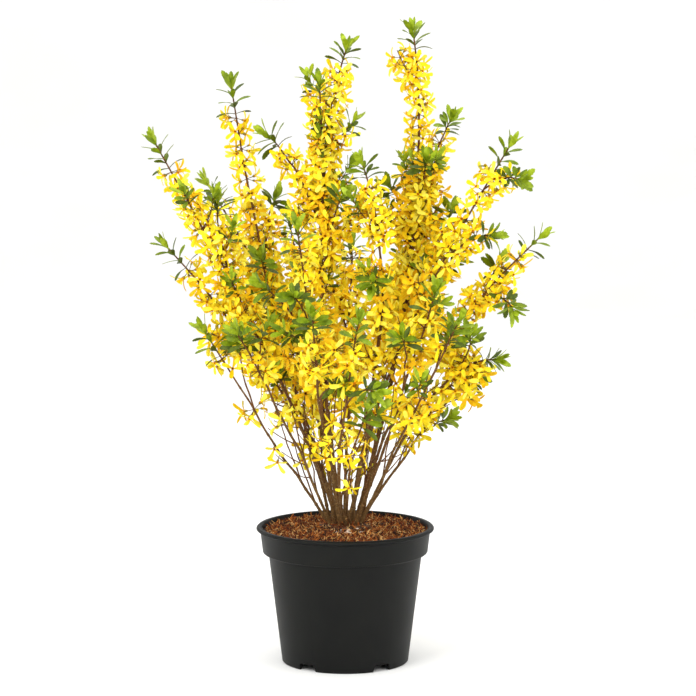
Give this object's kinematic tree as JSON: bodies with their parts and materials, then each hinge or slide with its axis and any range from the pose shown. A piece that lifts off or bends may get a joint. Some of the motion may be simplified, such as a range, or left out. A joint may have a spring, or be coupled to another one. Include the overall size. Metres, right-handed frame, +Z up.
{
  "type": "potted border forsythia",
  "caption": "Upright flowering shrub with yellow four-petalled blossom along bare canes and green leaf tufts at their tips, in a round black nursery pot.",
  "frame": {"origin": "middle of the pot's flat underside, on the pot's axis", "axes": "+Z up along the pot's axis, -Y towards the viewer of the picture, +X to the viewer's right"},
  "size_m": [0.5102, 0.4823, 0.8313],
  "materials": {
    "pot_plastic": "matte black moulded polypropylene",
    "mulch": "loose brown fibre and bark mulch",
    "bark": "thin tan-brown bark with pale pores",
    "blossom": "soft matt petals",
    "leaf": "fresh green leaf, slightly waxy"
  },
  "bodies": {
    "root": {"pot": "pot_plastic", "soil": "mulch", "root_crown": "bark", "cane_left_lowest": "bark", "cane_left_front": "bark", "cane_left_mid": "bark", "cane_left_high": "bark", "cane_left_tall": "bark", "cane_left_back": "bark", "cane_mid_tall": "bark", "cane_front_left": "bark", "cane_front_mid": "bark", "cane_front_right": "bark", "cane_front_low": "bark", "cane_right_front_high": "bark", "cane_right_inner": "bark", "cane_right_front": "bark", "cane_right_low": "bark", "cane_right_high": "bark", "cane_right_far": "bark", "cane_right_lowest": "bark", "cane_right_tall": "bark", "cane_back_right": "bark", "cane_back_mid": "bark", "cane_back_left": "bark", "blossom_left_lowest": "blossom", "blossom_left_front": "blossom", "blossom_left_mid": "blossom", "blossom_left_high": "blossom", "blossom_left_tall": "blossom", "blossom_left_back": "blossom", "blossom_mid_tall": "blossom", "blossom_front_left": "blossom", "blossom_front_mid": "blossom", "blossom_front_right": "blossom", "blossom_front_low": "blossom", "blossom_right_front_high": "blossom", "blossom_right_inner": "blossom", "blossom_right_front": "blossom", "blossom_right_low": "blossom", "blossom_right_high": "blossom", "blossom_right_far": "blossom", "blossom_right_lowest": "blossom", "blossom_right_tall": "blossom", "blossom_back_right": "blossom", "blossom_back_mid": "blossom", "blossom_back_left": "blossom"}
  },
  "joints": []
}
